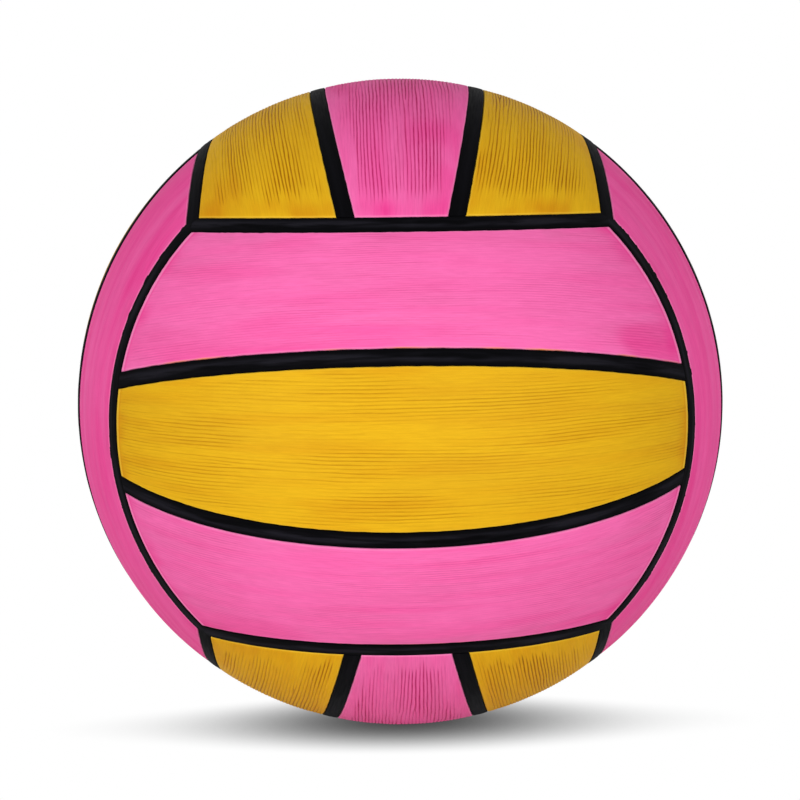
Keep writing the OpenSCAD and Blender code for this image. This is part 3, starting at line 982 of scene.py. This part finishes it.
# Soft studio light from both sides of the camera and from behind the ball; angles in
# degrees, strengths as the brightness they give a white surface that faces them;
# shines says whether a lamp shows in reflections
studio = {
    "fill": 0.28,
    "floorTone": 0.92,
    "floorHalf": 0.8,
    "floorLines": 41,
    "skyDistance": 0.6,
    "skySamples": 64,
    "contact": (-0.08, 0.64),  # open shares of the sky at which the shadow is full, and gone
    # Shares added by width squared, up to 1, and by depth squared, and where depth starts
    "spread": (-0.083, 4.7, -0.16),
    "lamps": {
        "leftBox": {"azimuth": -42, "elevation": 4, "softness": 24, "strength": 0.535},
        "rightBox": {"azimuth": 32, "elevation": 4, "softness": 24, "strength": 0.51},
        "backBox": {"azimuth": 180, "elevation": 2, "softness": 24, "strength": 0.80, "shines": False},
    },
}


def addLamp(name, azimuth, elevation, softness, strength, shines=True):
    # A sun; pi times the strength lights a white surface that faces it to the strength
    light = bpy.data.lights.new(name, "SUN")
    light.angle = math.radians(softness)
    light.energy = strength * math.pi
    lamp = bpy.data.objects.new(name, light)
    lamp.visible_glossy = shines
    a, e = math.radians(azimuth), math.radians(elevation)
    back = np.array([math.sin(a) * math.cos(e), -math.cos(a) * math.cos(e), math.sin(e)])
    placeByAxes(lamp, *levelAxes(back), back, back)


for name, lamp in studio["lamps"].items():
    addLamp(name, **lamp)


def seenRays(tree):
    # 1 for the rays of the camera, of reflections and of what passes through
    path = addNode(tree, "LightPath").outputs
    others = calc(tree, "MAXIMUM", path["Is Glossy Ray"], path["Is Transmission Ray"])
    return calc(tree, "MAXIMUM", path["Is Camera Ray"], others)


def buildWorld():
    # The backdrop is white to the camera and in reflections, and lights gently
    world = bpy.data.worlds.new("studio")
    scene.world = world
    world.use_nodes = True
    tree = world.node_tree
    tree.nodes.clear()
    light = addNode(tree, "Background", {"Color": (1, 1, 1, 1), "Strength": studio["fill"]}).outputs[0]
    white = addNode(tree, "Background", {"Color": (1, 1, 1, 1), "Strength": 1.0}).outputs[0]
    mix = addNode(tree, "MixShader", {0: seenRays(tree), 1: light, 2: white}).outputs[0]
    feed(tree, addNode(tree, "OutputWorld").inputs[0], mix)


def buildFloor():
    # A wide sheet under the ball; the camera sees it white, shaded by how much of
    # the sky the ball hides from it, and less in front and behind, by depth squared;
    # the shadow also reaches a little further sideways, by width squared up to 1
    n, half = studio["floorLines"], studio["floorHalf"]
    x, y = np.meshgrid(np.linspace(-half, half, n), np.linspace(-half, half, n))
    points = np.stack([x, y, np.full(x.shape, -ball["radius"])], -1).reshape(-1, 3)
    mesh = bpy.data.meshes.new("floor")
    mesh.from_pydata(points.tolist(), [], gridCells(n, n).tolist())
    mesh.update()
    floor = bpy.data.objects.new("floor", mesh)
    scene.collection.objects.link(floor)
    material = bpy.data.materials.new("floorPaper")
    material.use_nodes = True
    tree = material.node_tree
    tree.nodes.clear()
    tone = studio["floorTone"]
    paper = addNode(tree, "BsdfDiffuse", {"Color": (tone, tone, tone, 1)}).outputs[0]
    reach = {"Distance": studio["skyDistance"]}
    sky = addNode(tree, "AmbientOcclusion", reach, samples=studio["skySamples"]).outputs["AO"]
    place = addNode(tree, "TexCoord").outputs["Object"]
    split = addNode(tree, "SeparateXYZ", {0: place}).outputs
    wide, deep, start = studio["spread"]
    width = calc(tree, "DIVIDE", split[0], ball["radius"])
    depth = calc(tree, "SUBTRACT", calc(tree, "DIVIDE", split[1], ball["radius"]), start)
    width = calc(tree, "MINIMUM", times(tree, width, width), 1.0)
    sky = calc(tree, "ADD", sky, times(tree, width, wide))
    sky = calc(tree, "ADD", sky, times(tree, depth, depth, deep))
    shade = between(tree, sky, *studio["contact"])
    white = addNode(tree, "Emission", {"Color": (1, 1, 1, 1), "Strength": shade}).outputs[0]
    mix = addNode(tree, "MixShader", {0: seenRays(tree), 1: paper, 2: white}).outputs[0]
    feed(tree, addNode(tree, "OutputMaterial").inputs[0], mix)
    mesh.materials.append(material)


buildWorld()
buildFloor()
scene.view_settings.view_transform = "Standard"
print("camera, light and floor set")
